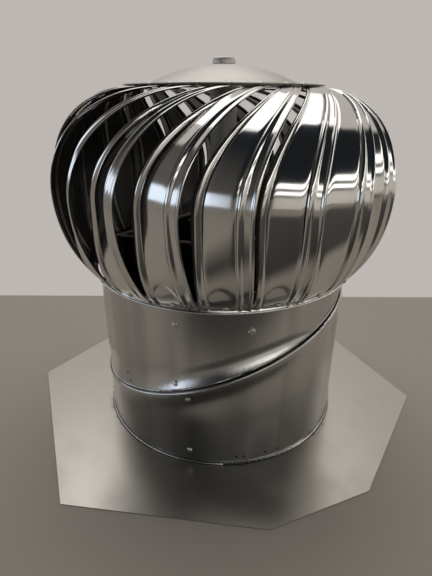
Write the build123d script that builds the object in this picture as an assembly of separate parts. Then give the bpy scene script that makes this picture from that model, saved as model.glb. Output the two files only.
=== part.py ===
from build123d import *
import os
from math import asin, cos, degrees, radians, sin, tan

# Turbine roof vent: a 12 inch throat on a roof flashing, an elbow that swivels to
# the roof's pitch, and a globe of curved blades that turns on a fixed shaft.
# Millimetres, +Z up along the throat, origin on the flashing's underside.
# An azimuth is measured from -Y (the front) towards +X.
os.makedirs("parts", exist_ok=True)

# Sheet metal and fits
sheet = 0.8
flashing_sheet = 1.0
seat_gap = 0.1
swivel_gap = 0.3
turning_gap = 0.05
drill_length = 40

# Roof flashing: a square sheet with long cut corners and a drawn neck
throat_r = 151.2
flashing_half = 236
flashing_turn = 22.5
flashing_side_half = 127
flashing_front = (-47, 75)
neck_height = 24
neck_bend_r = 1.5

# Collars and the slanted swivel seam between them
collar_inner_r = throat_r + flashing_sheet + 2 * seat_gap
collar_r = collar_inner_r + sheet
collar_top = 207
foot_hem_r = 1.3
seam_height = 119.1
seam_tilt = 20.5
seam_stand = 7.3
seam_r = collar_r + seam_stand
lip_r = 1.4
lip_offset = 1.0
channel_start = 215
channel_sweep = 205
lower_lead = 2.0
upper_lead = 4.0
ridge_r = 1.0
lower_cut = (88, 18.5)
upper_cut = (148, 17.5)
flare_start = 0.25

# Rivets and screws
rivet_r = 1.6
rivet_head_r = 3.15
rivet_head_height = 1.4
rivet_tail_r = 2.2
rivet_tail = 2.0
hole_gap = 0.05
drill_spare = 8
lower_rivet_azimuth = -14
lower_rivet_heights = (18, 91)
upper_rivet_azimuth = -18.7
upper_rivet_heights = (111, 180.5)
foot_rivet_step = 90
foot_rivet_count = 4

# Small punched holes that stay empty: azimuth and height of each
punch_r = 1.3
lower_punches = ((-35, 11), (6.2, 11), (9.8, 11), (15.7, 11), (19.5, 11), (25.5, 11))
upper_punches = ((-46, 95.5), (-43.4, 88.5))

# Brace: three V legs that hold the shaft in the throat
leg_azimuths = (10.7, 130.7, 250.7)
leg_screw_heights = (176, 192, 176)
leg_foot_below = 7
strap_width = 14
strap_thick = 2.0
strap_above_hub = 4
rod_r = 2.5
lower_hub_z = 215
upper_hub_z = 270
brace_hub_r = 13
brace_hub_height = 14
screw_r = 2.4
screw_head_r = 4.2
screw_head_height = 2.6
screw_past_nut = 1
nut_across = 8
nut_height = 3.2

# Shaft and its two ball bearings
shaft_r = 4
shaft_below_nut = 1.4
shaft_above_bearing = 10
shaft_chamfer = 0.6
shaft_side_room = 3
shaft_end_room = 2
shaft_nut_across = 13
shaft_nut_height = 6.5
bearing_outer_r = 11
bearing_width = 7
ball_count = 7
ball_r = 1.95
bearing_spread = 68
upper_bearing_drop = 20.2
race_thick = 2.1
thrust_collar_r = 6.5
thrust_collar_height = 8

# Globe of blades
blade_count = 20
blade_step = 360 / blade_count
equator_r = 196
equator_z = 298
shoulder_r = 106.3
shoulder_height = 102.5
shoulder_place = 90
blade_foot_z = 203
blade_tab = 17
tab_crest = 0.6
front_edge_azimuth = 6.8
foot_sweep = 2.8
top_sweep = 34.6
tab_sweep = 0.35
equator_span = 16.4
foot_span = 17.3
top_span = 14.0
equator_inset = 20
foot_inset = 1.2
edge_bead = 9.0
edge_bead_height = 3.0
rib_width = 6.5
rib_height = 2.4
rib_margin = 9.5
hem_width = 3.5
hem_height = 1.2
ridge_flank = 0.3
panel_crown = 1.2
full_width = 54
foot_rivet_rise = 4.5
foot_rivet_gap = 3.4
blade_stand = 4.3

# Rotor rings
ring_clearance = 2.4
ring_below_foot = 4.5
ring_hem_r = 1.3
ring_flare = 1.9
ring_skirt_rise = 0.6
ring_rise = 10.6
ring_lean = 0.3
plate_overhang = 3.7
tab_rivet_inset = 11.3
dome_margin = 11
dome_rise = 21
rotor_hub_r = 15
hub_flange_r = 24
hub_flange = 3
hub_boss_r = 8
hub_boss = 5
hub_lip = 4
spacer_thick = 1.8
clip_reach = 1.5
clip_thick = 1.2
cap_r = 12.5
cap_height = 6.8
cap_round = 4.5

# Radii and heights that follow from those above
skirt_r = collar_r + ring_clearance + sheet
foot_r = skirt_r + blade_stand
globe_drop = equator_z - blade_foot_z
globe_swell = equator_r - foot_r
lower_arc_r = (globe_drop ** 2 + globe_swell ** 2) / (2 * globe_swell)
plate_r = shoulder_r + plate_overhang
plate_rivet_r = shoulder_r - tab_rivet_inset
dome_r = plate_rivet_r - dome_margin
plate_z = equator_z + shoulder_height + panel_crown + tab_crest + seat_gap
dome_top = plate_z + sheet + dome_rise
upper_bearing_z = dome_top - upper_bearing_drop
lower_bearing_z = upper_bearing_z - bearing_spread
shaft_top = upper_bearing_z + shaft_above_bearing
strap_top = lower_hub_z + strap_above_hub


def polar(radius, azimuth, height):
    """Point at a radius and azimuth (from -Y towards +X) and a height."""
    turn = radians(azimuth)
    return Vector(radius * sin(turn), -radius * cos(turn), height)


def save(name, *solids):
    """Write one node as a STEP file."""
    shape = solids[0] if len(solids) == 1 else Compound(children=list(solids))
    export_step(shape, f"parts/{name}.step")


def ring_of(*profile):
    """Solid turned about Z from a closed (radius, height) outline."""
    return revolve(Plane.XZ * make_face(Polyline(*profile, close=True)), Axis.Z)


def tube(inner, outer, low, high):
    """Plain tube about Z between two heights."""
    return ring_of((inner, low), (outer, low), (outer, high), (inner, high))


def bead(radius, height, minor):
    """Round bead about Z."""
    return revolve(Plane.XZ * Pos(radius, height) * Circle(minor), Axis.Z)


def slanted(height, tilt):
    """Plane through the axis at a height that rises towards +X by a tilt."""
    turn = radians(tilt)
    uphill = (cos(turn), 0, sin(turn))
    return Plane(origin=(0, 0, height), x_dir=uphill, z_dir=(-sin(turn), 0, cos(turn)))


def outer_point(solid, azimuth, height):
    """Outermost point of a wall at an azimuth and height, and the normal there."""
    direction = polar(1, azimuth, 0)
    hits = solid.find_intersection_points(Axis((0, 0, height), direction))
    return max(hits, key=lambda hit: hit[0].dot(direction))


def rivet(grip, tail=rivet_tail):
    """Rivet along Z: flat side of the head on Z = 0, shank and tail below."""
    shoulder = (rivet_head_r * 0.7, rivet_head_height * 0.62)
    dome = Spline((0, rivet_head_height), shoulder, (rivet_head_r, 0), tangents=((1, 0), (0.35, -1)))
    swell = [(rivet_tail_r, -grip), (rivet_tail_r, -grip - tail)] if tail else []
    rest = Polyline((rivet_head_r, 0), (rivet_r, 0), (rivet_r, -grip), *swell, (0, -grip - tail),
                    (0, rivet_head_height))
    return revolve(Plane.XZ * make_face([dome, rest]), Axis.Z)


def fastened(solid, azimuth, height, inside, flush=False):
    """Rivet, and the drill for its hole, on the outside of a wall.

    inside is the depth of sheet under the head. A flush rivet has no tail."""
    point, normal = outer_point(solid, azimuth, height)
    seat = Plane(origin=point + normal * seat_gap, z_dir=normal)
    drill = Cylinder(rivet_r + hole_gap, 4 * inside + drill_spare)
    piece = rivet(inside, 0) if flush else rivet(inside + 2 * seat_gap)
    return seat.location * piece, seat.location * drill


def punches(solid, places):
    """Drills for small holes through a wall."""
    drills = []
    for azimuth, height in places:
        point, normal = outer_point(solid, azimuth, height)
        drills.append(Plane(origin=point, z_dir=normal).location * Cylinder(punch_r, 4 * sheet))
    return drills


def hexagon(across, height):
    """Hexagonal prism standing on Z = 0."""
    return extrude(RegularPolygon(across / 2, 6, major_radius=False), height)


# Roof flashing
front = [(-flashing_half, -flashing_side_half), (flashing_front[0], -flashing_half),
         (flashing_front[1], -flashing_half), (flashing_half, -flashing_side_half)]
outline = front + [(-u, -v) for u, v in front]
plate = extrude(make_face(Polyline(*outline, close=True)), flashing_sheet)
neck_r = throat_r + flashing_sheet
flashing = Rot(0, 0, flashing_turn) * plate + tube(throat_r - 1, neck_r, 0, neck_height)
flashing -= Cylinder(throat_r, 4 * neck_height)
mouth = flashing.edges().filter_by(GeomType.CIRCLE).sort_by(Axis.Z)[0]
flashing = fillet(mouth, neck_bend_r)

# Swivel seam: a rolled lip on the upper collar runs in a channel on the lower one
seam = slanted(seam_height, seam_tilt)
lip_centre = seam_r + lip_offset
channel_inner = lip_r + swivel_gap
channel_outer = channel_inner + sheet
outside = CenterArc((lip_centre, 0), channel_outer, channel_start, channel_sweep)
inside = CenterArc((lip_centre, 0), channel_inner, channel_start, channel_sweep)
channel_edge = [outside, Line(outside @ 1, inside @ 1), inside, Line(inside @ 0, outside @ 0)]
channel = seam.location * revolve(Plane.XZ * make_face(channel_edge), Axis.Z)


def seam_disc(shift, radius):
    """Round face parallel to the seam, shifted along its normal."""
    return seam.offset(shift) * Circle(radius)


def cut_disc(cut, radius):
    """Oval face where a slanted plane cuts a collar of a radius."""
    height, tilt = cut
    return slanted(height, tilt) * Ellipse(radius / cos(radians(tilt)), radius)


def flare(cut, lead, inset):
    """Solid that swells smoothly from a slanted cut of a collar to the seam's circle."""
    height, tilt = ((first + last) / 2 for first, last in zip(cut, (seam_height, seam_tilt)))
    radius = collar_r - inset
    side = radius + (seam_r - collar_r) * flare_start
    end = radius / cos(radians(cut[1]))
    end += (seam_r - inset - end) * flare_start
    middle = slanted(height, tilt) * Ellipse(end, side)
    return loft([cut_disc(cut, radius), middle, seam_disc(lead, seam_r - inset)])


def lower_core(inset):
    """Solid inside of the lower collar, drawn in from its skin by an inset."""
    radius = collar_r - inset
    body = Cylinder(radius, collar_top, align=(Align.CENTER, Align.CENTER, Align.MIN))
    body = split(Pos(0, 0, flashing_sheet) * body, bisect_by=slanted(*lower_cut), keep=Keep.BOTTOM)
    return body + flare(lower_cut, -lower_lead, inset)


def upper_core(inset):
    """Solid inside of the upper collar, drawn in from its skin by an inset."""
    radius = collar_r - inset
    body = Cylinder(radius, collar_top, align=(Align.CENTER, Align.CENTER, Align.MIN))
    body = split(body, bisect_by=slanted(*upper_cut), keep=Keep.TOP)
    return body + flare(upper_cut, upper_lead, inset)


lower_collar = lower_core(0) - lower_core(sheet) + channel
lower_collar += bead(collar_r + foot_hem_r / 2, flashing_sheet + foot_hem_r, foot_hem_r)
upper_collar = upper_core(0) - upper_core(sheet)
upper_collar += seam.location * tube(seam_r - sheet, seam_r, 0, upper_lead)
upper_collar += seam.location * bead(lip_centre, 0, lip_r)
upper_collar += seam.location * bead(seam_r - ridge_r / 4, upper_lead, ridge_r)

# Rivets of the collars' lap seams, and those that hold the lower collar on the neck
foot_grip = sheet + 2 * seat_gap + flashing_sheet
base_rivets = []
drills = []
for turn in range(foot_rivet_count):
    azimuth = lower_rivet_azimuth + foot_rivet_step * turn
    piece, drill = fastened(lower_collar, azimuth, lower_rivet_heights[0], foot_grip, flush=True)
    base_rivets.append(piece)
    drills.append(drill)
flashing -= drills
piece, drill = fastened(lower_collar, lower_rivet_azimuth, lower_rivet_heights[1], sheet)
base_rivets.append(piece)
lower_collar -= drills + [drill] + punches(lower_collar, lower_punches)
throat_rivets = []
drills = []
for height in upper_rivet_heights:
    piece, drill = fastened(upper_collar, upper_rivet_azimuth, height, sheet)
    throat_rivets.append(piece)
    drills.append(drill)
upper_collar -= drills + punches(upper_collar, upper_punches)

# Brace legs, their screws and nuts
hub_bore = shaft_r + turning_gap
strap_r = collar_inner_r - 2 * seat_gap
strap_mid = strap_r - strap_thick / 2
legs = []
screws = []
nuts = []
for azimuth, screw_z in zip(leg_azimuths, leg_screw_heights):
    outward = polar(1, azimuth, 0)
    foot = screw_z - leg_foot_below
    upright = Plane(origin=(0, 0, 0), x_dir=outward, z_dir=(0, 0, 1))
    strap = tube(strap_r - strap_thick, strap_r, foot, strap_top)
    strap &= upright.location * Pos(strap_mid, 0, 0) * Box(
        drill_length / 2, strap_width, strap_top, align=(Align.CENTER, Align.CENTER, Align.MIN))
    knee = polar(strap_mid, azimuth, lower_hub_z)
    for hub_z in (lower_hub_z, upper_hub_z):
        end = Vector(0, 0, hub_z)
        run = end - knee
        rod = Plane(origin=knee, z_dir=run).location * Cylinder(
            rod_r, run.length, align=(Align.CENTER, Align.CENTER, Align.MIN))
        strap += rod
    strap &= Cylinder(strap_r, 4 * strap_top)
    for hub_z in (lower_hub_z, upper_hub_z):
        strap -= Pos(0, 0, hub_z) * Cylinder(brace_hub_r + seat_gap, brace_hub_height + drill_spare)
    seat = Plane(origin=polar(collar_r + seat_gap, azimuth, screw_z), z_dir=outward)
    drill = seat.location * Cylinder(screw_r + hole_gap, 4 * screw_r)
    legs.append(strap - drill)
    upper_collar -= drill
    grip = sheet + 4 * seat_gap + strap_thick
    screw = Cylinder(screw_head_r, screw_head_height, align=(Align.CENTER, Align.CENTER, Align.MIN))
    screw = fillet(screw.edges().group_by(Axis.Z)[-1], screw_head_height * 0.7)
    screw += Pos(0, 0, -grip - nut_height - screw_past_nut) * Cylinder(
        screw_r, grip + nut_height + screw_past_nut, align=(Align.CENTER, Align.CENTER, Align.MIN))
    screws.append(seat.location * screw)
    nut = hexagon(nut_across, nut_height) - Cylinder(screw_r + hole_gap, drill_length)
    nuts.append(seat.location * Pos(0, 0, -grip - nut_height) * nut)


def brace_hub(height):
    """Collar on the shaft that the rods of the three legs meet."""
    half = brace_hub_height / 2
    return tube(hub_bore, brace_hub_r, height - half, height + half)


# Shaft, its nut and the collar under the lower bearing
nut_base = lower_hub_z - brace_hub_height / 2 - seat_gap - shaft_nut_height
shaft_bottom = nut_base - shaft_below_nut
shaft = Pos(0, 0, shaft_bottom) * Cylinder(shaft_r, shaft_top - shaft_bottom,
                                           align=(Align.CENTER, Align.CENTER, Align.MIN))
shaft = chamfer(shaft.edges().group_by(Axis.Z)[0] + shaft.edges().group_by(Axis.Z)[-1], shaft_chamfer)
shaft_nut = hexagon(shaft_nut_across, shaft_nut_height) - Cylinder(hub_bore, drill_length)
shaft_nut = Pos(0, 0, nut_base) * shaft_nut
thrust_top = lower_bearing_z - seat_gap
thrust_collar = tube(hub_bore, thrust_collar_r, thrust_top - thrust_collar_height, thrust_top)

# Ball bearings
ball_track_r = (shaft_r + bearing_outer_r) / 2
inner_ring_r = shaft_r + race_thick
outer_ring_r = bearing_outer_r - race_thick


def bearing(low):
    """Inner ring, outer ring and balls of a ball bearing that starts at a height."""
    middle = low + bearing_width / 2
    groove = bead(ball_track_r, middle, ball_r + turning_gap)
    inner = tube(hub_bore, inner_ring_r, low, low + bearing_width) - groove
    outer = tube(outer_ring_r, bearing_outer_r, low, low + bearing_width) - groove
    balls = [Pos(polar(ball_track_r, 360 / ball_count * turn, middle)) * Sphere(ball_r)
             for turn in range(ball_count)]
    return inner, outer, balls


# Globe: the outline that the blades' outer edges follow
def arc_place(height):
    """Place on the lower arc at a height."""
    return degrees(asin((height - equator_z) / lower_arc_r))


foot_angle = arc_place(blade_foot_z)


def meridian(place):
    """Radius, height and outward normal of the globe at a place along a blade.

    place is an angle in degrees: below 0 on the lower arc, up to shoulder_place on the
    upper quarter oval, and past it in millimetres along the flat tab under the plate."""
    if place > shoulder_place:
        return shoulder_r - (place - shoulder_place), equator_z + shoulder_height, (0, 1)
    turn = radians(place)
    if place < 0:
        radius = equator_r - lower_arc_r + lower_arc_r * cos(turn)
        return radius, equator_z + lower_arc_r * sin(turn), (cos(turn), sin(turn))
    reach = equator_r - shoulder_r
    slope = Vector(cos(turn) / reach, sin(turn) / shoulder_height).normalized()
    return shoulder_r + reach * cos(turn), equator_z + shoulder_height * sin(turn), (slope.X, slope.Y)


def blade_edges(place):
    """Trailing (inner) and leading (outer) edge points of the first blade at a place."""
    low = max(0, place / foot_angle)
    high = min(1, max(0, place / shoulder_place))
    sweep = foot_sweep * low ** 1.5 + top_sweep * high ** 2 + tab_sweep * max(0, place - shoulder_place)
    span = equator_span + (foot_span - equator_span) * low + (top_span - equator_span) * high ** 2
    inset = equator_inset * (1 - high ** 2)
    inset += (foot_inset - equator_inset) * low ** 2 * (3 - 2 * low)
    radius, height, normal = meridian(place)
    azimuth = front_edge_azimuth + sweep
    outer = polar(radius, azimuth, height)
    inner = polar(radius - inset * normal[0], azimuth - span, height - inset * normal[1])
    return inner, outer


def blade_plane(place):
    """Plane of a blade's cross-section: x from inner to outer edge, -y out of the globe."""
    inner, outer = blade_edges(place)
    ahead = sum(blade_edges(place + 0.5), Vector()) - sum(blade_edges(place - 0.5), Vector())
    across = (outer - inner).normalized()
    along = ahead - across * ahead.dot(across)
    return Plane(origin=inner, x_dir=across, z_dir=along), (outer - inner).length


def ridge(start, end, rise):
    """Foot and two crest points of a ridge that bulges out of the globe."""
    flank = (end - start) * ridge_flank
    return [(start, 0), (start + flank, -rise), (end - flank, -rise)]


def blade_section(place, swell):
    """Thin closed cross-section of a blade: edge bead, crowned panel, rib and hem.

    swell scales the beads' height, which dies out at both ends."""
    plane, width = blade_plane(place)
    part = width / full_width
    rib_end = width - rib_margin * part
    rib_start = rib_end - rib_width * part
    hem = hem_width * part
    outline = ridge(0, edge_bead * part, edge_bead_height * swell)
    outline += ridge(edge_bead * part, rib_start, panel_crown)
    outline += ridge(rib_start, rib_end, rib_height * swell) + [(rib_end, 0)]
    outline += [(width - hem, 0), (width - hem / 2, -hem_height * swell), (width, 0)]
    back_side = [(across, depth + sheet) for across, depth in reversed(outline)]
    return plane * make_face(Polyline(*outline, *back_side, close=True))


foot_swell = 0.4
tab_swell = 0.08
stations = [(foot_angle, foot_swell), (-30, 0.9), (-15, 1), (0, 1), (15, 1), (30, 1), (45, 1), (60, 0.9),
            (75, 0.6), (shoulder_place, tab_swell), (shoulder_place + blade_tab, tab_swell)]
blade = loft([blade_section(place, swell) for place, swell in stations])

# Bottom ring: a flared skirt with a rolled hem, and a conical band behind the blades' feet
hem_z = blade_foot_z - ring_below_foot + ring_hem_r
ring_skirt_top = blade_foot_z + ring_skirt_rise
ring_top = blade_foot_z + ring_rise
ring_top_r = meridian(arc_place(ring_top))[0] - blade_stand - ring_lean
hem_r = skirt_r + ring_flare
bottom_ring = ring_of((hem_r, hem_z), (skirt_r, ring_skirt_top), (ring_top_r, ring_top),
                      (ring_top_r - sheet, ring_top + sheet),
                      (skirt_r - sheet, ring_skirt_top + sheet / 2), (hem_r - sheet, hem_z))
bottom_ring += bead(hem_r - sheet / 2, hem_z, ring_hem_r)

# Top plate: a flat flange on the blades' tabs with a pressed dome
dome_sphere = (dome_r ** 2 + dome_rise ** 2) / (2 * dome_rise)


def dome_height(radius, inset):
    """Height of the dome's skin, or of a surface drawn in from it, at a radius."""
    return dome_top - dome_sphere + ((dome_sphere - inset) ** 2 - radius ** 2) ** 0.5


def dome_cap(inset):
    """Solid under the dome, drawn in from its skin by an inset."""
    ball = Pos(0, 0, dome_top - dome_sphere) * Sphere(dome_sphere - inset)
    return ball & Pos(0, 0, plate_z) * Cylinder(2 * dome_r, 2 * dome_rise,
                                                align=(Align.CENTER, Align.CENTER, Align.MIN))


top_plate = tube(hub_boss_r, plate_r, plate_z, plate_z + sheet) + dome_cap(0) - dome_cap(sheet)
top_plate -= Pos(0, 0, dome_top) * Cylinder(hub_boss_r + turning_gap, dome_rise)

# Rivets at both ends of each blade
foot_plane, foot_width = blade_plane(arc_place(blade_foot_z + foot_rivet_rise))
foot_out = -foot_plane.y_dir
foot_mid = foot_plane.origin + foot_plane.x_dir * (foot_width / 2) + foot_out * (panel_crown + seat_gap)
foot_seat = Plane(origin=foot_mid, z_dir=foot_out).location
foot_rivet_grip = 2 * sheet + foot_rivet_gap
tab_inner, tab_outer = blade_edges(shoulder_place + tab_rivet_inset)
tab_mid = (tab_inner + tab_outer) / 2
tab_seat = Pos(tab_mid.X, tab_mid.Y, plate_z + sheet + seat_gap)
tab_rivet_grip = 2 * sheet + 3 * seat_gap + tab_crest
drill = Cylinder(rivet_r + hole_gap, 8 * sheet + rivet_tail)
blade -= [foot_seat * drill, tab_seat * drill]
turns = [Rot(0, 0, blade_step * number) for number in range(blade_count)]
bottom_ring -= [turn * foot_seat * drill for turn in turns]
top_plate -= [turn * tab_seat * drill for turn in turns]
foot_rivets = [turn * foot_seat * rivet(foot_rivet_grip) for turn in turns]
tab_rivets = [turn * tab_seat * rivet(tab_rivet_grip) for turn in turns]

# Rotor hub: a blind sleeve for both bearings, with a boss through the dome
pocket_r = bearing_outer_r + turning_gap
pocket_top = upper_bearing_z + bearing_width + seat_gap
flange_top = dome_height(hub_flange_r, sheet) - seat_gap
boss_top = dome_top + hub_boss
shaft_room_r = shaft_r + shaft_side_room
shaft_room_top = shaft_top + shaft_end_room
clip_top = lower_bearing_z - seat_gap
clip_low = clip_top - clip_thick
clip_r = pocket_r + clip_reach / 2
hub_bottom = lower_bearing_z - hub_lip
flange_low = flange_top - hub_flange
rotor_hub = ring_of((pocket_r, hub_bottom), (rotor_hub_r, hub_bottom), (rotor_hub_r, flange_low),
                    (hub_flange_r, flange_low), (hub_flange_r, flange_top), (hub_boss_r, flange_top),
                    (hub_boss_r, boss_top), (0, boss_top), (0, shaft_room_top),
                    (shaft_room_r, shaft_room_top), (shaft_room_r, pocket_top), (pocket_r, pocket_top))
rotor_hub -= tube(pocket_r - 1, clip_r + turning_gap, clip_low - turning_gap, clip_top + turning_gap)
bearing_clip = tube(clip_r - clip_reach - clip_reach / 2, clip_r, clip_low, clip_top)
spacer_low = lower_bearing_z + bearing_width + seat_gap
spacer_high = upper_bearing_z - seat_gap
outer_spacer = tube(bearing_outer_r - spacer_thick, bearing_outer_r, spacer_low, spacer_high)
inner_spacer = tube(hub_bore, hub_bore + spacer_thick, spacer_low, spacer_high)

# Cap screwed on the boss above the dome
hub_cap = Cylinder(cap_r, cap_height, align=(Align.CENTER, Align.CENTER, Align.MIN))
hub_cap = fillet(hub_cap.edges().group_by(Axis.Z)[-1], cap_round)
hub_cap -= Cylinder(hub_boss_r + turning_gap, 2 * (hub_boss + seat_gap))
hub_cap = Pos(0, 0, dome_top) * hub_cap

lower_inner, lower_outer, lower_balls = bearing(lower_bearing_z)
upper_inner, upper_outer, upper_balls = bearing(upper_bearing_z)

# One file per node
save("flashing", flashing)
save("lower_collar", lower_collar)
save("base_rivets", *base_rivets)
save("upper_collar", upper_collar)
save("throat_rivets", *throat_rivets)
for number, leg in enumerate(legs, 1):
    save(f"brace_leg_{number}", leg)
save("brace_screws", *screws)
save("brace_nuts", *nuts)
save("lower_brace_hub", brace_hub(lower_hub_z))
save("upper_brace_hub", brace_hub(upper_hub_z))
save("shaft", shaft)
save("shaft_nut", shaft_nut)
save("thrust_collar", thrust_collar)
save("inner_spacer", inner_spacer)
save("lower_bearing_inner", lower_inner)
save("upper_bearing_inner", upper_inner)
save("lower_bearing_outer", lower_outer)
save("upper_bearing_outer", upper_outer)
save("lower_bearing_balls", *lower_balls)
save("upper_bearing_balls", *upper_balls)
save("outer_spacer", outer_spacer)
save("bearing_clip", bearing_clip)
save("rotor_hub", rotor_hub)
save("hub_cap", hub_cap)
save("top_plate", top_plate)
save("bottom_ring", bottom_ring)
for number, turn in enumerate(turns, 1):
    save(f"blade_{number:02d}", turn * blade)
save("tab_rivets", *tab_rivets)
save("foot_rivets", *foot_rivets)
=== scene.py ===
import logging
from dataclasses import dataclass, field
from enum import Enum
from math import asin, cos, degrees, radians, sin
from typing import Any, Optional

import bmesh
import bpy
from mathutils import Matrix, Vector


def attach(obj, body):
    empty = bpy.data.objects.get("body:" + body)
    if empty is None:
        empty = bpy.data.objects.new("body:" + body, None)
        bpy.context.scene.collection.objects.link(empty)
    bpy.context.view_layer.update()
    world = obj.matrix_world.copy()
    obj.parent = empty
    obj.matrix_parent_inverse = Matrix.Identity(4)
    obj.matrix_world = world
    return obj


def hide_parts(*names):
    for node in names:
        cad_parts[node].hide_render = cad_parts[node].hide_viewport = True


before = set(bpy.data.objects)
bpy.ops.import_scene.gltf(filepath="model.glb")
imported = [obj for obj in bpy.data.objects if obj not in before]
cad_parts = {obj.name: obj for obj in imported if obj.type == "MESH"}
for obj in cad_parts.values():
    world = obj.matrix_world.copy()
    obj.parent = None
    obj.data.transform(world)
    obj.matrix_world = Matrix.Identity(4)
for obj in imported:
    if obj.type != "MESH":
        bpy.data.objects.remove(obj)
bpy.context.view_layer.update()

log = logging.getLogger("roof_vent")
Colour = tuple[float, float, float]
Point = tuple[float, float, float]
Pair = tuple[float, float]
Step = Pair
MM = 0.001
HALF = 0.5
FULL_TURN = 360.0
RIGHT_ANGLE = 90.0

# Sockets of a Mix node that mixes colours
MIX_FACTOR = 0
MIX_FIRST = 6
MIX_SECOND = 7
MIX_RESULT = 2


@dataclass(frozen=True)
class Pattern:
    """Settings of a noise: its scale, its layers of detail and how strong the finer layers are."""

    scale: float
    detail: float = 3.0
    roughness: float = 0.55


class Value:
    """A shader socket that takes part in Python expressions."""

    def __init__(self, paint: "Paint", socket: bpy.types.NodeSocket) -> None:
        """Keeps the socket and the tree that it belongs to."""
        self.paint = paint
        self.socket = socket

    def math(self, operation: str, *others: Any, clamp: bool = False) -> "Value":
        """Adds one Math node.

        Args:
            operation: The node's operation.
            others: Further operands, values or numbers.
            clamp: Keeps the result between 0 and 1.

        Returns:
            The node's result.
        """
        settings = {"operation": operation, "use_clamp": clamp}
        inputs = dict(enumerate((self, *others)))
        return self.paint.value("ShaderNodeMath", settings, inputs)

    def __add__(self, other: Any) -> "Value":
        """Sum."""
        return self.math("ADD", other)

    def __mul__(self, other: Any) -> "Value":
        """Product."""
        return self.math("MULTIPLY", other)

    def __sub__(self, other: Any) -> "Value":
        """Difference."""
        return self.math("SUBTRACT", other)

    def __pow__(self, other: Any) -> "Value":
        """Power."""
        return self.math("POWER", other)

    def clamped(self) -> "Value":
        """The value kept between 0 and 1."""
        return self.math("ADD", 0.0, clamp=True)

    def step(self, low: float, high: float) -> "Value":
        """Smooth step.

        Args:
            low: Where the result is 0.
            high: Where the result is 1, above or below the other.

        Returns:
            A value from 0 to 1.
        """
        if low < high:
            inputs = {"Value": self, "From Min": low, "From Max": high, "To Min": 0.0, "To Max": 1.0}
        else:
            inputs = {"Value": self, "From Min": high, "From Max": low, "To Min": 1.0, "To Max": 0.0}
        return self.paint.value("ShaderNodeMapRange", {"interpolation_type": "SMOOTHSTEP"}, inputs)

    def between(self, first: Step, last: Step) -> "Value":
        """Product of two smooth steps, one at each end of a range.

        Args:
            first: The step at one end.
            last: The step at the other end.

        Returns:
            1 between the ends and 0 outside.
        """
        return self.step(*first) * self.step(*last)


class Paint:
    """Builds the nodes of one shader tree."""

    def __init__(self, tree: bpy.types.NodeTree) -> None:
        """Starts from an empty tree."""
        self.tree = tree
        tree.nodes.clear()

    def node(self, kind: str, settings: Optional[dict[str, Any]] = None,
             inputs: Optional[dict[Any, Any]] = None) -> bpy.types.Node:
        """Adds a node.

        Args:
            kind: The node's type name.
            settings: Attributes that are set first.
            inputs: Socket name or number to a value, a socket or a constant.

        Returns:
            The node.
        """
        made = self.tree.nodes.new(kind)
        for name, setting in (settings or {}).items():
            setattr(made, name, setting)
        for name, given in (inputs or {}).items():
            socket = made.inputs[name]
            if isinstance(given, Value):
                self.tree.links.new(given.socket, socket)
            elif isinstance(given, bpy.types.NodeSocket):
                self.tree.links.new(given, socket)
            else:
                socket.default_value = given
        return made

    def value(self, kind: str, settings: Optional[dict[str, Any]] = None,
              inputs: Optional[dict[Any, Any]] = None, out: Any = 0) -> Value:
        """Adds a node and wraps one of its outputs."""
        return Value(self, self.node(kind, settings, inputs).outputs[out])

    def blend(self, factor: Any, first: Any, second: Any) -> Value:
        """Mixes two colours.

        Args:
            factor: 0 gives the first colour and 1 the second.
            first: A colour or a value.
            second: A colour or a value.

        Returns:
            The mixed colour.
        """
        inputs = {MIX_FACTOR: factor, MIX_FIRST: opaque(first), MIX_SECOND: opaque(second)}
        return self.value("ShaderNodeMix", {"data_type": "RGBA"}, inputs, MIX_RESULT)

    def noise(self, vector: Value, pattern: Pattern) -> Value:
        """Noise between 0 and 1 at a place."""
        inputs = {"Vector": vector, "Scale": pattern.scale, "Detail": pattern.detail}
        inputs["Roughness"] = pattern.roughness
        return self.value("ShaderNodeTexNoise", None, inputs)

    def coordinates(self, kind: str = "Object") -> Value:
        """A place's coordinates, by the name of the Texture Coordinate node's output."""
        return self.value("ShaderNodeTexCoord", None, None, kind)

    def axes(self, vector: Value) -> tuple[Value, Value, Value]:
        """The parts x, y and z of a vector."""
        parts = self.node("ShaderNodeSeparateXYZ", None, {"Vector": vector})
        x, y, z = (Value(self, out) for out in parts.outputs)
        return x, y, z

    def vector(self, x: Any, y: Any, z: Any) -> Value:
        """A vector from three values."""
        return self.value("ShaderNodeCombineXYZ", None, {"X": x, "Y": y, "Z": z})


def opaque(colour: Any) -> Any:
    """A colour triple with full alpha; anything else as it is."""
    return (*colour, 1.0) if isinstance(colour, tuple) and len(colour) == 3 else colour


def darker(colour: Colour, share: float) -> Colour:
    """A colour with only a share of its brightness."""
    red, green, blue = colour
    return red * share, green * share, blue * share


@dataclass(frozen=True)
class Wear:
    """What the finishes share: the patterns of wear, the steps between which they show and their shares.

    Scales are given across and along the way that a sheet's marks run."""

    mark_scales: Pair = (2200.0, 24.0)
    streak_scales: Pair = (26.0, 1.2)
    drawn: Pattern = Pattern(1.0, 2.0)
    clouds: Pattern = Pattern(14.0, 4.0, 0.6)
    specks: Pattern = Pattern(130.0, 3.0, 0.6)
    cloud_film: Step = (0.45, 0.75)
    cloud_film_share: float = 0.7
    speck_film: Step = (0.58, 0.8)
    speck_film_share: float = 0.5
    film_rough: float = 0.25
    plain_shade: float = 0.90
    mark_shade: float = 0.10
    cloud_shade: float = 0.10
    dark_shade: float = 0.82
    mark_rough: float = 0.06
    # Dark upright stripes, partly drawn marks and partly painted reflection
    streak_edge: Step = (0.36, 0.66)
    streak_and_reflection_shade: float = 0.35
    streak_rough: float = 0.05


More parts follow.
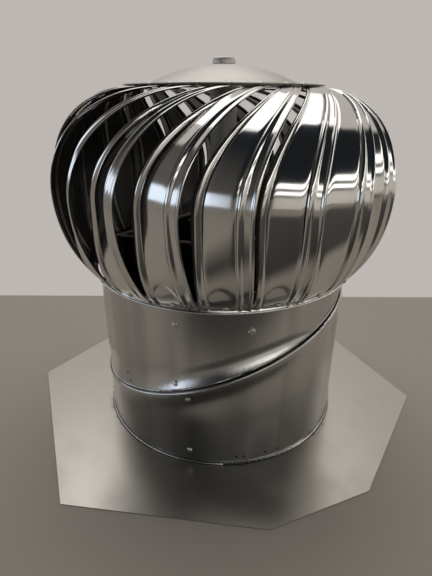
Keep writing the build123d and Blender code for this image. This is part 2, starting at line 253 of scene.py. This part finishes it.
@dataclass(frozen=True)
class GrimeAndShade:
    """Grime round the collar's foot, and painted shade beneath it, with lengths in millimetres.

    Grime starts on top of the collar's hem and just outside it. The flashing inside the hem, its neck
    behind the collar's holes included, is always fully dark as painted shade, fading out in a dark line
    just outside the hem, where the collar meets the flashing."""

    colour: Colour = (0.035, 0.028, 0.022)
    hem_top: float = 3.8
    hem_edge: float = 0.6
    hem_out: float = 155.2
    dark_joint_and_shade: float = 0.9
    speck_share: float = 0.4
    cloud_share: float = 1.2
    bare: float = 0.30
    edge: Step = (0.45, 0.85)
    rough: float = 0.4


@dataclass(frozen=True)
class InsideShade:
    """Painted shade on the inner side of a sheet, which faces the axis: a dark colour and more
    roughness.
    """

    colour: Colour = (0.075, 0.072, 0.068)
    edge: Step = (0.0, -0.02)
    rough: float = 0.25


WEAR = Wear()
GRIME_AND_SHADE = GrimeAndShade()
INSIDE_SHADE = InsideShade()

# A blade's sheet in metres, which its UV map covers from 0 to 1
BLADE_WIDTH = 0.054
BLADE_LENGTH = 0.33


class Grain(Enum):
    """The way that rolling marks run over a sheet."""

    ROUND = "round the axis"
    ALONG = "along a blade"
    ACROSS = "along X"
    UPRIGHT = "up and down"
    NONE = "no marks"


@dataclass(frozen=True)
class MetalFinish:
    """A bare metal with rolling marks, clouds of dullness and smudges.

    roughness is the clean metal's and cloud the most that clouds add to it. smudge is the share of the
    dull film, marks the depth of the rolling marks in millimetres and streaks the share of the dark
    upright stripes, partly drawn marks and partly painted reflection. foot_dirt is the height up to
    which grime has settled on a collar and rim_dirt how far it reaches out on the flashing. A sheet that
    is set to be dark inside has painted shade on the side that faces the axis."""

    name: str
    colour: Colour
    roughness: float
    cloud: float = 0.08
    smudge: float = 0.15
    film: Colour = (0.42, 0.40, 0.36)
    grain: Grain = Grain.NONE
    marks: float = 0.004
    streaks_and_reflections: float = 0.0
    foot_dirt: float = 0.0
    rim_dirt: float = 0.0
    painted_shade_inside: bool = False

    def along_sheet(self, paint: Paint, across: float, along: float) -> Value:
        """A place on the sheet, stretched along the way that its marks run.

        Args:
            paint: The tree.
            across: Scale across the marks.
            along: Scale along the marks.

        Returns:
            The place as a vector.
        """
        x, y, z = paint.axes(paint.coordinates())
        if self.grain is Grain.ROUND:
            return paint.vector(x * along, y * along, z * across)
        if self.grain is Grain.UPRIGHT:
            return paint.vector(x * across, y * across, z * along)
        if self.grain is Grain.ACROSS:
            return paint.vector(x * along, y * across, z * along)
        if self.grain is Grain.ALONG:
            side, run, _ = paint.axes(paint.coordinates("UV"))
            return paint.vector(side * (across * BLADE_WIDTH), run * (along * BLADE_LENGTH), x * along)
        return paint.vector(x * across, y * across, z * across)

    def dirt_and_shade(self, paint: Paint, specks: Value, clouds: Value) -> Value:
        """Share of the grime that has settled at the foot of a collar or round it on the flashing, and
        of the painted shade on the flashing inside the collar's hem.
        """
        x, y, z = paint.axes(paint.coordinates())
        ragged = specks * GRIME_AND_SHADE.speck_share + clouds * GRIME_AND_SHADE.cloud_share - GRIME_AND_SHADE.bare
        ragged = ragged.step(*GRIME_AND_SHADE.edge)
        if self.foot_dirt:
            hem_top = GRIME_AND_SHADE.hem_top * MM
            hem_edge = (GRIME_AND_SHADE.hem_top - GRIME_AND_SHADE.hem_edge) * MM
            low = z.between((self.foot_dirt * MM, hem_top), (hem_edge, hem_top))
            return (low * ragged).clamped()
        out = (x * x + y * y) ** 0.5
        hem_out = GRIME_AND_SHADE.hem_out * MM
        close = out.step((GRIME_AND_SHADE.hem_out + self.rim_dirt) * MM, hem_out)
        # Painted shade: the flashing inside the hem, neck included, is fully dark, fading out just
        # outside it
        dark_joint_and_shade = out.step((GRIME_AND_SHADE.hem_out + GRIME_AND_SHADE.dark_joint_and_shade) * MM, hem_out)
        return (close * ragged + dark_joint_and_shade).clamped()

    def inside(self, paint: Paint) -> Value:
        """1 on the side that faces the axis, 0 on the outside."""
        x, y, _ = paint.axes(paint.coordinates())
        outward = paint.value("ShaderNodeVectorMath", {"operation": "DOT_PRODUCT"},
                              {0: paint.coordinates("Normal"), 1: paint.vector(x, y, 0.0)}, "Value")
        return outward.step(*INSIDE_SHADE.edge)

    def material(self) -> bpy.types.Material:
        """Builds the finish.

        Returns:
            The material.
        """
        made = bpy.data.materials.new(self.name)
        made.use_nodes = True
        paint = Paint(made.node_tree)
        place = paint.coordinates()
        marks = paint.noise(self.along_sheet(paint, *WEAR.mark_scales), WEAR.drawn)
        clouds = paint.noise(place, WEAR.clouds)
        specks = paint.noise(place, WEAR.specks)
        film = clouds.step(*WEAR.cloud_film) * WEAR.cloud_film_share
        film = film + specks.step(*WEAR.speck_film) * WEAR.speck_film_share
        film = (film * self.smudge).clamped()
        shade = (marks * WEAR.mark_shade + clouds * WEAR.cloud_shade + WEAR.plain_shade).clamped()
        colour = paint.blend(shade, darker(self.colour, WEAR.dark_shade), self.colour)
        rough = marks * WEAR.mark_rough + clouds * self.cloud + film * WEAR.film_rough + self.roughness
        # Dark upright stripes: partly drawn marks in the sheet, partly painted reflection
        if self.streaks_and_reflections:
            drawn = paint.noise(self.along_sheet(paint, *WEAR.streak_scales), WEAR.drawn)
            drawn = drawn.step(*WEAR.streak_edge)
            colour = paint.blend(drawn * self.streaks_and_reflections, colour, darker(self.colour, WEAR.streak_and_reflection_shade))
            rough = rough + drawn * WEAR.streak_rough
        colour = paint.blend(film, colour, self.film)
        # Grime, and on the flashing painted shade inside the collar's hem
        if self.foot_dirt or self.rim_dirt:
            dirt_and_shade = self.dirt_and_shade(paint, specks, clouds)
            colour = paint.blend(dirt_and_shade, colour, GRIME_AND_SHADE.colour)
            rough = rough + dirt_and_shade * GRIME_AND_SHADE.rough
        # Painted shade on the side of the sheet that faces the axis
        if self.painted_shade_inside:
            inside = self.inside(paint)
            colour = paint.blend(inside, colour, INSIDE_SHADE.colour)
            rough = rough + inside * INSIDE_SHADE.rough
        bump = paint.node("ShaderNodeBump", None,
                          {"Strength": 1.0, "Distance": self.marks * MM, "Height": marks})
        inputs = {"Base Color": colour, "Metallic": 1.0, "Roughness": rough.clamped()}
        inputs["Normal"] = bump.outputs[0]
        shader = paint.node("ShaderNodeBsdfPrincipled", None, inputs)
        paint.node("ShaderNodeOutputMaterial", None, {"Surface": shader.outputs[0]})
        return made


BRIGHT_SHEET = MetalFinish(
    "bright rolled sheet", (0.83, 0.82, 0.80), roughness=0.05, cloud=0.03, smudge=0.06,
    grain=Grain.ALONG, marks=0.002, streaks_and_reflections=0.10)
# Painted shade: the inner side of the blades, which is the same bright sheet, darkened
SHADED_INNER_SHEET = MetalFinish(
    "blade insides with painted shade", (0.20, 0.195, 0.19), roughness=0.34, cloud=0.10, smudge=0.20,
    film=(0.10, 0.09, 0.08), grain=Grain.ALONG)
RING_SHEET = MetalFinish(
    "bright ring sheet", (0.85, 0.84, 0.82), roughness=0.12, cloud=0.06, smudge=0.10,
    grain=Grain.ROUND, marks=0.003, painted_shade_inside=True)
COLLAR_SHEET = MetalFinish(
    "semi-bright collar sheet", (0.72, 0.71, 0.695), roughness=0.13, cloud=0.06, smudge=0.10,
    grain=Grain.UPRIGHT, marks=0.003, streaks_and_reflections=0.35, foot_dirt=9.0, painted_shade_inside=True)
MILL_SHEET = MetalFinish(
    "mill flashing sheet", (0.60, 0.575, 0.525), roughness=0.22, cloud=0.12, smudge=0.30,
    grain=Grain.ACROSS, marks=0.001, rim_dirt=7.0, painted_shade_inside=True)
DULL_PRESSING = MetalFinish(
    "dull pressed aluminium", (0.66, 0.64, 0.60), roughness=0.42, cloud=0.10, smudge=0.35)
RIVET_METAL = MetalFinish(
    "plain rivet aluminium", (0.72, 0.71, 0.69), roughness=0.30, cloud=0.08, smudge=0.20)
ZINC_STEEL = MetalFinish(
    "zinc plated steel", (0.58, 0.57, 0.55), roughness=0.34, cloud=0.10, smudge=0.25)
BEARING_STEEL = MetalFinish(
    "ground bearing steel", (0.60, 0.60, 0.61), roughness=0.22, cloud=0.06, smudge=0.15,
    grain=Grain.ROUND, marks=0.002)


@dataclass
class SubAssembly:
    """A rigid body of the vent: the finish that each of its nodes takes."""

    body: str
    finishes: dict[str, MetalFinish] = field(default_factory=dict)

    def assign(self, finish: MetalFinish, *nodes: str) -> None:
        """Chooses one finish for some nodes.

        Args:
            finish: The finish.
            nodes: The nodes' names.
        """
        for node in nodes:
            self.finishes[node] = finish

    def dress(self, made: dict[str, bpy.types.Material]) -> None:
        """Puts its finish on every node.

        Args:
            made: Materials by finish name, filled as they are needed.
        """
        for node, finish in self.finishes.items():
            if finish.name not in made:
                made[finish.name] = finish.material()
            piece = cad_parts[node]
            piece.data.materials.clear()
            piece.data.materials.append(made[finish.name])
            log.info("%s: %s", node, finish.name)


@dataclass
class Base(SubAssembly):
    """Flashing and lower collar, which stay on the roof."""

    body: str = "base"

    def __post_init__(self) -> None:
        """Chooses the finishes."""
        self.assign(MILL_SHEET, "flashing")
        self.assign(COLLAR_SHEET, "lower_collar")
        self.assign(RIVET_METAL, "base_rivets")


@dataclass
class Throat(SubAssembly):
    """Upper collar, brace and shaft, which swivel on the slanted seam."""

    body: str = "throat"

    def __post_init__(self) -> None:
        """Chooses the finishes."""
        self.assign(COLLAR_SHEET, "upper_collar")
        self.assign(RIVET_METAL, "throat_rivets")
        self.assign(ZINC_STEEL, "brace_leg_1", "brace_leg_2", "brace_leg_3", "brace_screws")
        self.assign(ZINC_STEEL, "brace_nuts", "lower_brace_hub", "upper_brace_hub")
        self.assign(ZINC_STEEL, "shaft", "shaft_nut", "thrust_collar", "inner_spacer")
        self.assign(BEARING_STEEL, "lower_bearing_inner", "upper_bearing_inner")


@dataclass(frozen=True)
class BladeForm:
    """The globe's blade in millimetres and degrees, by the same law as the solid but with rounded beads.

    A place runs along the blade: an angle from the foot (below 0) to the shoulder, then millimetres on
    the tab. The beads fade below fade_below and above fade_above. The hollow over the foot rivet lies
    between press_from and press_to, shares of the blade's width, and between press_end and press_top.
    crowding draws the mesh's rows towards the foot, and nearby is the step to the places on both sides
    that give the blade's direction."""

    sheet: float = 0.8
    equator_r: float = 196.0
    equator_z: float = 298.0
    foot_r: float = 160.7
    foot_z: float = 203.0
    shoulder_r: float = 106.3
    shoulder_height: float = 102.5
    shoulder_place: float = 90.0
    tab: float = 17.0
    front_edge: float = 6.8
    foot_sweep: float = 2.8
    foot_sweep_power: float = 1.5
    top_sweep: float = 34.6
    tab_sweep: float = 0.35
    equator_span: float = 16.4
    foot_span: float = 17.3
    top_span: float = 14.0
    equator_inset: float = 20.0
    foot_inset: float = 1.2
    full_width: float = 54.0
    bead: float = 9.0
    bead_height: float = 3.0
    rib: float = 6.5
    rib_height: float = 2.4
    rib_margin: float = 9.5
    hem: float = 3.5
    hem_height: float = 1.2
    fade_below: float = -15.0
    fade_above: float = 45.0
    foot_fade: float = 0.6
    top_fade: float = 0.92
    crown: float = 0.8
    bead_round: float = 2.4
    panel_round: float = 10.0
    press_depth: float = 1.3
    press_top: float = -26.0
    press_arch: float = 5.0
    press_edge: float = 2.4
    press_end: float = -38.5
    press_from: float = 0.17
    press_to: float = 0.70
    press_side_power: float = 4.0
    steps_across: int = 60
    steps_along: int = 72
    crowding: float = 1.35
    nearby: float = 0.5
    sharp_edge: float = 50.0

    @property
    def arc_r(self) -> float:
        """Radius of the globe's lower arc."""
        drop = self.equator_z - self.foot_z
        swell = self.equator_r - self.foot_r
        return (drop ** 2 + swell ** 2) / (2.0 * swell)

    @property
    def foot_place(self) -> float:
        """Place of the foot."""
        return degrees(asin((self.foot_z - self.equator_z) / self.arc_r))

    def meridian(self, place: float) -> tuple[float, float, Vector]:
        """Radius, height and outward slope of the globe at a place."""
        if place > self.shoulder_place:
            radius = self.shoulder_r - (place - self.shoulder_place)
            return radius, self.equator_z + self.shoulder_height, Vector((0.0, 1.0))
        turn = radians(place)
        if place < 0.0:
            radius = self.equator_r - self.arc_r + self.arc_r * cos(turn)
            return radius, self.equator_z + self.arc_r * sin(turn), Vector((cos(turn), sin(turn)))
        reach = self.equator_r - self.shoulder_r
        radius = self.shoulder_r + reach * cos(turn)
        height = self.equator_z + self.shoulder_height * sin(turn)
        slope = Vector((cos(turn) / reach, sin(turn) / self.shoulder_height)).normalized()
        return radius, height, slope

    def edges(self, place: float) -> tuple[Vector, Vector]:
        """Inner (trailing) and outer (leading) edge points at a place."""
        low = max(0.0, place / self.foot_place)
        high = min(1.0, max(0.0, place / self.shoulder_place))
        past = max(0.0, place - self.shoulder_place)
        sweep = self.foot_sweep * low ** self.foot_sweep_power
        sweep += self.top_sweep * high ** 2 + self.tab_sweep * past
        span = self.equator_span + (self.foot_span - self.equator_span) * low
        span += (self.top_span - self.equator_span) * high ** 2
        inset = self.equator_inset
        inset += (self.foot_inset - self.equator_inset) * low ** 2 * (3.0 - 2.0 * low)
        inset -= self.equator_inset * high ** 2
        radius, height, slope = self.meridian(place)
        ahead = self.front_edge + sweep
        inner = polar(radius - inset * slope.x, ahead - span, height - inset * slope.y)
        return inner, polar(radius, ahead, height)

    def swell(self, place: float) -> float:
        """Share of the beads' height, which dies out at both ends."""
        low = max(0.0, (self.fade_below - place) / (self.fade_below - self.foot_place))
        high = max(0.0, (place - self.fade_above) / (self.shoulder_place - self.fade_above))
        return 1.0 - self.foot_fade * low ** 3 - self.top_fade * min(1.0, high) ** 2

    def rise(self, across: float, width: float, place: float) -> float:
        """Height of the outer skin over the chord at a distance from the inner edge."""
        part = width / self.full_width
        rib_end = width - self.rib_margin * part
        rib_start = rib_end - self.rib * part
        bead_end = self.bead * part
        hem_start = width - self.hem * part
        swell = self.swell(place)
        for start, end, height, power in ((0.0, bead_end, self.bead_height * swell, self.bead_round),
                                          (bead_end, rib_start, self.crown, self.panel_round),
                                          (rib_start, rib_end, self.rib_height * swell, self.bead_round),
                                          (hem_start, width, self.hem_height * swell, self.bead_round)):
            if start <= across <= end:
                return height * (1.0 - abs(2.0 * (across - start) / (end - start) - 1.0) ** power)
        return 0.0

    def press(self, share: float, place: float) -> float:
        """Depth of the hollow pressed into the panel above the foot rivet, under an arched edge."""
        side = abs(2.0 * (share - self.press_from) / (self.press_to - self.press_from) - 1.0)
        if side >= 1.0:
            return 0.0
        top = self.press_top - self.press_arch * side ** 2
        step = eased((top - place) / self.press_edge)
        fade = eased((place - self.press_end) / (top - self.press_end))
        return self.press_depth * step * fade * (1.0 - side ** self.press_side_power)

    def point(self, share: float, place: float) -> Vector:
        """Point of the outer skin in metres.

        Args:
            share: From 0 at the inner edge to 1 at the outer edge.
            place: Place along the blade.

        Returns:
            The point.
        """
        inner, outer = self.edges(place)
        ahead = sum(self.edges(place + self.nearby), Vector())
        behind = sum(self.edges(place - self.nearby), Vector())
        run = ahead - behind
        width = (outer - inner).length
        chord = (outer - inner).normalized()
        along = (run - chord * run.dot(chord)).normalized()
        lift = self.rise(share * width, width, place) - self.press(share, place)
        return (inner + chord * (share * width) + chord.cross(along) * lift) * MM

    def mesh(self, name: str, turn: float) -> bpy.types.Mesh:
        """Makes the sheet of one blade, with a second, darker material on the side that faces inwards,
        as painted shade.

        Args:
            name: The mesh's name.
            turn: The blade's turn about the axis in degrees.

        Returns:
            The mesh.
        """
        shape = bmesh.new()
        shape.loops.layers.uv.new("sheet")
        bmesh.ops.create_grid(shape, x_segments=self.steps_across, y_segments=self.steps_along,
                              size=HALF, calc_uvs=True)
        length = self.shoulder_place + self.tab - self.foot_place
        for vertex in shape.verts:
            run = max(0.0, vertex.co.y + HALF) ** self.crowding
            vertex.co = self.point(vertex.co.x + HALF, run * length + self.foot_place)
        shape.normal_update()
        bmesh.ops.solidify(shape, geom=shape.faces[:], thickness=self.sheet * MM)
        bmesh.ops.recalc_face_normals(shape, faces=shape.faces)
        turned = Matrix.Rotation(radians(turn), 3, "Z")
        bmesh.ops.rotate(shape, cent=Vector(), matrix=turned, verts=shape.verts)
        shape.normal_update()
        middle = Vector((0.0, 0.0, self.equator_z * MM))
        for face in shape.faces:
            face.smooth = True
            # The side that faces inwards takes the second material, which is painted shade
            face.material_index = int(face.normal.dot(face.calc_center_median() - middle) < 0.0)
        for edge in shape.edges:
            edge.smooth = edge.calc_face_angle(0.0) < radians(self.sharp_edge)
        made = bpy.data.meshes.new(name)
        shape.to_mesh(made)
        shape.free()
        return made


def eased(share: float) -> float:
    """Smooth step from 0 to 1."""
    kept = min(1.0, max(0.0, share))
    return kept * kept * (3.0 - 2.0 * kept)


def polar(radius: float, azimuth: float, height: float) -> Vector:
    """Point at a radius and azimuth (degrees from -Y towards +X) and a height."""
    turn = radians(azimuth)
    return Vector((radius * sin(turn), -radius * cos(turn), height))


@dataclass
class Rotor(SubAssembly):
    """Globe of blades, which turns in the wind."""

    body: str = "rotor"
    blade_count: int = 20
    form: BladeForm = BladeForm()

    def __post_init__(self) -> None:
        """Chooses the finishes."""
        self.assign(RING_SHEET, "bottom_ring")
        self.assign(DULL_PRESSING, "top_plate", "hub_cap", "rotor_hub", "outer_spacer")
        self.assign(RIVET_METAL, "tab_rivets", "foot_rivets")
        self.assign(BEARING_STEEL, "lower_bearing_outer", "upper_bearing_outer")
        self.assign(BEARING_STEEL, "lower_bearing_balls", "upper_bearing_balls")
        self.assign(ZINC_STEEL, "bearing_clip")

    def dress(self, made: dict[str, bpy.types.Material]) -> None:
        """Dresses the nodes and puts rounded blades in place of the flat-sided ones.

        Args:
            made: Materials by finish name, filled as they are needed.
        """
        super().dress(made)
        for finish in (BRIGHT_SHEET, SHADED_INNER_SHEET):
            made[finish.name] = finish.material()
        for number in range(self.blade_count):
            node = f"blade_{number + 1:02d}"
            mesh = self.form.mesh(f"sheet_{node}", FULL_TURN / self.blade_count * number)
            mesh.materials.append(made[BRIGHT_SHEET.name])
            mesh.materials.append(made[SHADED_INNER_SHEET.name])
            piece = bpy.data.objects.new(f"sheet_{node}", mesh)
            bpy.context.scene.collection.objects.link(piece)
            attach(piece, self.body)
            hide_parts(node)


@dataclass(frozen=True)
class Room:
    """Light of a plain room, by the direction that it comes from.

    Each step names the values of x, y or z of that direction between which something fades in."""

    back_colour: Colour = (0.51, 0.475, 0.45)
    wall_edge: Step = (0.46, 0.54)
    wall_rise: Step = (0.40, 0.85)
    wall_lean: float = 0.36
    dark_colour: Colour = (0.011, 0.013, 0.015)
    side_colour: Colour = (0.16, 0.145, 0.13)
    side_edge: Step = (-0.30, -0.90)
    side_share: float = 0.6
    right_edge: Step = (-0.30, 0.10)
    band_colour: Colour = (0.52, 0.49, 0.44)
    band_foot: Step = (-0.25, -0.05)
    band_top: Step = (0.22, 0.16)
    band_share: float = 0.2
    band_more_right: float = 0.8
    strip_colour: Colour = (1.9, 1.85, 1.75)
    high_strip_foot: Step = (0.35, 0.37)
    high_strip_top: Step = (0.46, 0.44)
    low_strip_foot: Step = (0.23, 0.245)
    low_strip_top: Step = (0.31, 0.295)
    window_colour: Colour = (0.95, 1.08, 1.25)
    window_side: Step = (-0.60, -0.72)
    window_foot: Step = (0.00, 0.04)
    window_top: Step = (0.28, 0.22)
    far_floor_colour: Colour = (0.22, 0.20, 0.175)
    far_floor_top: Step = (-0.02, -0.10)
    far_floor_back: Step = (0.30, 0.10)

    def build(self) -> None:
        """Makes the world: a pale wall behind the vent, and a dark room in front of it.

        The dark room has a lit band at eye level, two bright strips above that on the right, a window on
        the left and a plain floor."""
        world = bpy.data.worlds.new("room")
        bpy.context.scene.world = world
        world.use_nodes = True
        paint = Paint(world.node_tree)
        x, y, z = paint.axes(paint.coordinates("Generated"))
        wall = (y + z.step(*self.wall_rise) * self.wall_lean).step(*self.wall_edge)
        right = x.step(*self.right_edge)
        level = z.between(self.band_foot, self.band_top)
        strips = z.between(self.high_strip_foot, self.high_strip_top)
        strips = strips + z.between(self.low_strip_foot, self.low_strip_top)
        window = x.step(*self.window_side) * z.between(self.window_foot, self.window_top)
        below = z.step(*self.far_floor_top) * y.step(*self.far_floor_back)
        left = x.step(*self.side_edge) * self.side_share
        facing = paint.blend(left, self.dark_colour, self.side_colour)
        band = level * (right * self.band_more_right + self.band_share)
        facing = paint.blend(band, facing, self.band_colour)
        facing = paint.blend(window, facing, self.window_colour)
        facing = paint.blend(strips * right, facing, self.strip_colour)
        light = paint.blend(wall, facing, self.back_colour)
        light = paint.blend(below, light, self.far_floor_colour)
        shader = paint.node("ShaderNodeBackground", None, {"Color": light, "Strength": 1.0})
        paint.node("ShaderNodeOutputWorld", None, {"Surface": shader.outputs[0]})


@dataclass
class Studio:
    """Camera, floor and light. Lengths are in metres and angles in degrees."""

    eye: Point = (-0.0075, -0.5275, 0.391)
    down: float = 23.92
    roll: float = 0.27
    focal_px: float = 430.2
    long_side_px: float = 576.0
    sensor_mm: float = 36.0
    clip_start: float = 0.01
    clip_end: float = 100.0
    floor_half: float = 4.0
    floor_back: float = 0.31
    floor_colour: Colour = (0.57, 0.52, 0.455)
    floor_clouds: Pattern = Pattern(5.0, 5.0, 0.6)
    floor_shade: float = 0.92
    floor_rough: float = 0.7
    # Painted shadow on the floor in front of the vent
    painted_shadow_near: Step = (-0.30, -0.48)
    painted_shadow_far: Step = (-2.2, -1.4)
    painted_shadow_left: Step = (-0.55, -0.10)
    painted_shadow_share: float = 0.9
    lamp_place: Point = (-0.1, 1.0, 2.3)
    lamp_aim: Point = (0.0, 0.0, 0.2)
    lamp_size: float = 2.0
    lamp_power: float = 12.0
    room: Room = Room()

    def camera(self) -> None:
        """Makes the camera at the photograph's place."""
        data = bpy.data.cameras.new("camera")
        data.sensor_width = self.sensor_mm
        data.lens = self.focal_px / self.long_side_px * self.sensor_mm
        data.clip_start = self.clip_start
        data.clip_end = self.clip_end
        camera = bpy.data.objects.new("camera", data)
        camera.location = self.eye
        tilt = Matrix.Rotation(radians(RIGHT_ANGLE - self.down), 3, "X")
        camera.rotation_euler = (tilt @ Matrix.Rotation(radians(self.roll), 3, "Z")).to_euler()
        bpy.context.scene.collection.objects.link(camera)
        bpy.context.scene.camera = camera

    def floor(self) -> None:
        """Makes a pale floor with a painted shadow in front of the vent, where only its reflection is
        seen.
        """
        mesh = bpy.data.meshes.new("floor")
        shape = bmesh.new()
        bmesh.ops.create_grid(shape, x_segments=1, y_segments=1, size=self.floor_half)
        bmesh.ops.translate(shape, vec=(0.0, self.floor_back - self.floor_half, 0.0), verts=shape.verts)
        shape.to_mesh(mesh)
        shape.free()
        floor = bpy.data.objects.new("floor", mesh)
        bpy.context.scene.collection.objects.link(floor)
        made = bpy.data.materials.new("pale floor")
        made.use_nodes = True
        paint = Paint(made.node_tree)
        place = paint.coordinates()
        x, y, _ = paint.axes(place)
        clouds = paint.noise(place, self.floor_clouds)
        plain = paint.blend(clouds, darker(self.floor_colour, self.floor_shade), self.floor_colour)
        # Painted shadow in front of the vent, seen only in reflections in the metal
        painted_shadow = y.between(self.painted_shadow_near, self.painted_shadow_far) * x.step(*self.painted_shadow_left)
        colour = paint.blend(painted_shadow * self.painted_shadow_share, plain, self.room.dark_colour)
        inputs = {"Base Color": colour, "Roughness": self.floor_rough}
        shader = paint.node("ShaderNodeBsdfPrincipled", None, inputs)
        paint.node("ShaderNodeOutputMaterial", None, {"Surface": shader.outputs[0]})
        mesh.materials.append(made)

    def lamp(self) -> None:
        """Makes a soft area lamp high behind the vent."""
        data = bpy.data.lights.new("soft key", "AREA")
        data.size = self.lamp_size
        data.energy = self.lamp_power
        lamp = bpy.data.objects.new("soft key", data)
        lamp.location = self.lamp_place
        beam = Vector(self.lamp_aim) - Vector(self.lamp_place)
        lamp.rotation_euler = beam.to_track_quat("-Z", "Y").to_euler()
        bpy.context.scene.collection.objects.link(lamp)

    def build(self) -> None:
        """Makes camera, floor and light."""
        bpy.context.scene.view_settings.view_transform = "Standard"
        self.camera()
        self.floor()
        self.room.build()
        self.lamp()


def main() -> None:
    """Dresses the vent and builds the studio."""
    logging.basicConfig(level=logging.INFO, format="%(name)s: %(message)s")
    materials: dict[str, bpy.types.Material] = {}
    for part in (Base(), Throat(), Rotor()):
        part.dress(materials)
    Studio().build()


if __name__ == "__main__":
    main()
